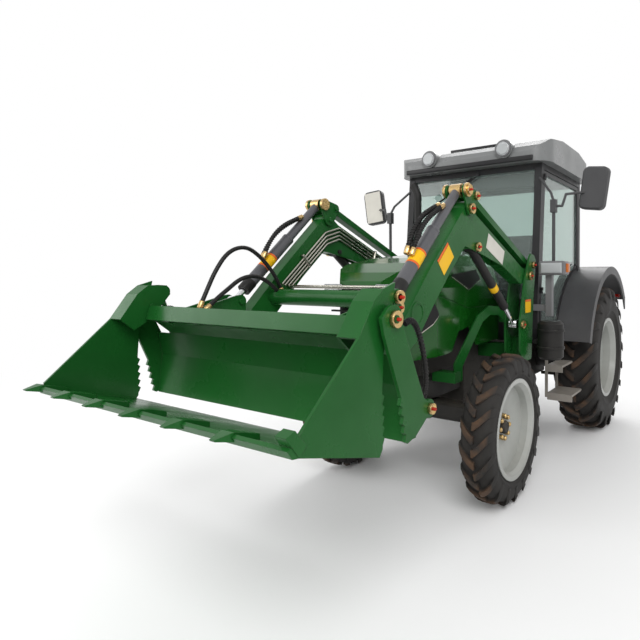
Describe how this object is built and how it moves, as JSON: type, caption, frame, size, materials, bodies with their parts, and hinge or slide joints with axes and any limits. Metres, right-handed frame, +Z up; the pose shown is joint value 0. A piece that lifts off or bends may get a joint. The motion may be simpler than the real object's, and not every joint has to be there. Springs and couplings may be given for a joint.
{
  "type": "farm tractor with front loader",
  "caption": "Farm tractor with cab, front loader and a bucket that opens like a clamshell, for digging, lifting, grading and grabbing loose material.",
  "frame": {"origin": "on the ground under the middle of the whole machine's box", "axes": "+Z up, the tractor faces -Y so +Y points to the hitch, and +X is the driver's left"},
  "size_m": [2.3396, 5.141, 2.6653],
  "materials": {
    "green_paint": "gloss",
    "black_paint": "satin",
    "grille_black": "matte",
    "cab_black": "satin",
    "window_glass": "clear",
    "roof_grey": "satin",
    "lamp_plastic": "satin",
    "rim_paint": "satin",
    "tyre_rubber": "matte",
    "rod_chrome": "polished",
    "tooth_steel": "worn",
    "seat_vinyl": "matte",
    "wheel_plastic": "matte"
  },
  "bodies": {
    "chassis": {"front_frame": "black_paint", "engine": "black_paint", "gearbox": "black_paint", "rear_axle": "black_paint", "front_axle": "black_paint", "side_panels": "green_paint", "nose_grille": "grille_black", "cab_floor": "black_paint", "cab_frame": "cab_black", "cab_glass": "window_glass", "console": "black_paint", "steering_wheel": "wheel_plastic", "driver_seat": "seat_vinyl", "fenders": "black_paint", "roof": "roof_grey", "roof_lamps": "lamp_plastic", "exhaust": "black_paint", "side_canister": "black_paint", "steps": "black_paint", "mirrors": "lamp_plastic", "front_lamps": "lamp_plastic", "loader_masts": "green_paint", "loader_arches": "green_paint", "lower_links": "black_paint", "drawbar": "black_paint"},
    "hood": {"hood": "green_paint"},
    "door_left": {"door_left": "cab_black", "door_glass_left": "window_glass"},
    "door_right": {"door_right": "cab_black", "door_glass_right": "window_glass"},
    "knuckle_left": {"knuckle_left": "black_paint"},
    "knuckle_right": {"knuckle_right": "black_paint"},
    "wheel_front_left": {"tyre_front_left": "tyre_rubber", "rim_front_left": "rim_paint"},
    "wheel_front_right": {"tyre_front_right": "tyre_rubber", "rim_front_right": "rim_paint"},
    "wheel_rear_left": {"tyre_rear_left": "tyre_rubber", "rim_rear_left": "rim_paint"},
    "wheel_rear_right": {"tyre_rear_right": "tyre_rubber", "rim_rear_right": "rim_paint"},
    "boom": {"boom_arms": "green_paint", "cross_tube": "green_paint"},
    "level_links": {"level_links": "green_paint"},
    "bell_cranks": {"bell_cranks": "green_paint"},
    "lift_barrels": {"lift_barrels": "black_paint"},
    "lift_rods": {"lift_rods": "rod_chrome"},
    "tilt_pins": {"tilt_pins": "rod_chrome"},
    "tilt_barrels": {"tilt_barrels": "black_paint"},
    "tilt_rods": {"tilt_rods": "rod_chrome"},
    "bucket": {"bucket": "green_paint"},
    "clam": {"clam": "green_paint", "teeth": "tooth_steel"},
    "clam_barrels": {"clam_barrels": "black_paint"},
    "clam_rods": {"clam_rods": "rod_chrome"}
  },
  "joints": [
    {"name": "steer_left", "type": "hinge", "parent": "chassis", "child": "knuckle_left", "pos_m": [0.47, -0.3765, 0.4975], "axis": [0, 0, 1], "range_deg": [-35, 35]},
    {"name": "steer_right", "type": "hinge", "parent": "chassis", "child": "knuckle_right", "pos_m": [-0.47, -0.3765, 0.4975], "axis": [0, 0, 1], "range_deg": [-35, 35]},
    {"name": "roll_front_left", "type": "hinge", "parent": "knuckle_left", "child": "wheel_front_left", "pos_m": [0.66, -0.3765, 0.4975], "axis": [1, 0, 0], "continuous": true},
    {"name": "roll_front_right", "type": "hinge", "parent": "knuckle_right", "child": "wheel_front_right", "pos_m": [-0.66, -0.3765, 0.4975], "axis": [1, 0, 0], "continuous": true},
    {"name": "roll_rear_left", "type": "hinge", "parent": "chassis", "child": "wheel_rear_left", "pos_m": [0.735, 1.7235, 0.705], "axis": [1, 0, 0], "continuous": true},
    {"name": "roll_rear_right", "type": "hinge", "parent": "chassis", "child": "wheel_rear_right", "pos_m": [-0.735, 1.7235, 0.705], "axis": [1, 0, 0], "continuous": true},
    {"name": "hood_lid", "type": "hinge", "parent": "chassis", "child": "hood", "pos_m": [0, 0.3135, 1.62], "axis": [-1, 0, 0], "range_deg": [0, 45]},
    {"name": "door_left_swing", "type": "hinge", "parent": "chassis", "child": "door_left", "pos_m": [0.65, 0.466, 1.7], "axis": [0, -0.0942, -0.9956], "range_deg": [0, 70]},
    {"name": "door_right_swing", "type": "hinge", "parent": "chassis", "child": "door_right", "pos_m": [-0.65, 0.466, 1.7], "axis": [0, 0.0942, 0.9956], "range_deg": [0, 70]},
    {"name": "boom_lift", "type": "hinge", "parent": "chassis", "child": "boom", "pos_m": [0, 0.2115, 1.519], "axis": [-1, 0, 0], "range_deg": [-26, 60]},
    {"name": "level_link_turn", "type": "hinge", "parent": "chassis", "child": "level_links", "pos_m": [0, 0.2795, 1.603], "axis": [-1, 0, 0], "range_deg": [-26, 60]},
    {"name": "bell_crank_turn", "type": "hinge", "parent": "boom", "child": "bell_cranks", "pos_m": [0, -0.8065, 1.928], "axis": [1, 0, 0], "range_deg": [-26, 60]},
    {"name": "lift_barrel_turn", "type": "hinge", "parent": "boom", "child": "lift_barrels", "pos_m": [0, -0.6865, 1.702], "axis": [1, 0, 0], "range_deg": [-4.58, 10.56]},
    {"name": "lift_rod_slide", "type": "slide", "parent": "lift_barrels", "child": "lift_rods", "axis": [0, 0.8022, -0.597], "range_m": [-0.15308, 0.35327]},
    {"name": "bucket_tilt", "type": "hinge", "parent": "boom", "child": "bucket", "pos_m": [0, -1.6115, 1.12], "axis": [1, 0, 0], "range_deg": [-12, 75]},
    {"name": "tilt_pin_turn", "type": "hinge", "parent": "bell_cranks", "child": "tilt_pins", "pos_m": [0, -0.8645, 2.033], "axis": [1, 0, 0], "range_deg": [-61.07, 26.47]},
    {"name": "tilt_barrel_turn", "type": "hinge", "parent": "tilt_pins", "child": "tilt_barrels", "pos_m": [0, -0.8645, 2.033], "axis": [1, 0, 0], "range_deg": [-4.66, 0.75]},
    {"name": "tilt_rod_slide", "type": "slide", "parent": "tilt_barrels", "child": "tilt_rods", "axis": [0, -0.7418, -0.6706], "range_m": [-0.04859, 0.30371]},
    {"name": "clam_open", "type": "hinge", "parent": "bucket", "child": "clam", "pos_m": [0, -1.9945, 1.359], "axis": [-1, 0, 0], "range_deg": [-15, 40]},
    {"name": "clam_barrel_turn", "type": "hinge", "parent": "bucket", "child": "clam_barrels", "pos_m": [0, -1.7285, 0.955], "axis": [1, 0, 0], "range_deg": [-1.87, 0.7]},
    {"name": "clam_rod_slide", "type": "slide", "parent": "clam_barrels", "child": "clam_rods", "axis": [0, -0.3697, 0.9291], "range_m": [-0.07305, 0.02739]}
  ],
  "couplings": [
    {"joint": "steer_right", "follows": "steer_left", "ratio": 1},
    {"joint": "level_link_turn", "follows": "boom_lift", "ratio": 1},
    {"joint": "bell_crank_turn", "follows": "boom_lift", "ratio": 1},
    {"joint": "lift_barrel_turn", "follows": "boom_lift", "ratio": 0.17583},
    {"joint": "lift_rod_slide", "follows": "boom_lift", "m_per_rad": 0.33701},
    {"joint": "tilt_pin_turn", "follows": "boom_lift", "ratio": -1.0169},
    {"joint": "tilt_barrel_turn", "follows": "bucket_tilt", "ratio": -0.062067},
    {"joint": "tilt_rod_slide", "follows": "bucket_tilt", "m_per_rad": 0.23178},
    {"joint": "clam_barrel_turn", "follows": "clam_open", "ratio": -0.046747},
    {"joint": "clam_rod_slide", "follows": "clam_open", "m_per_rad": -0.10453}
  ]
}
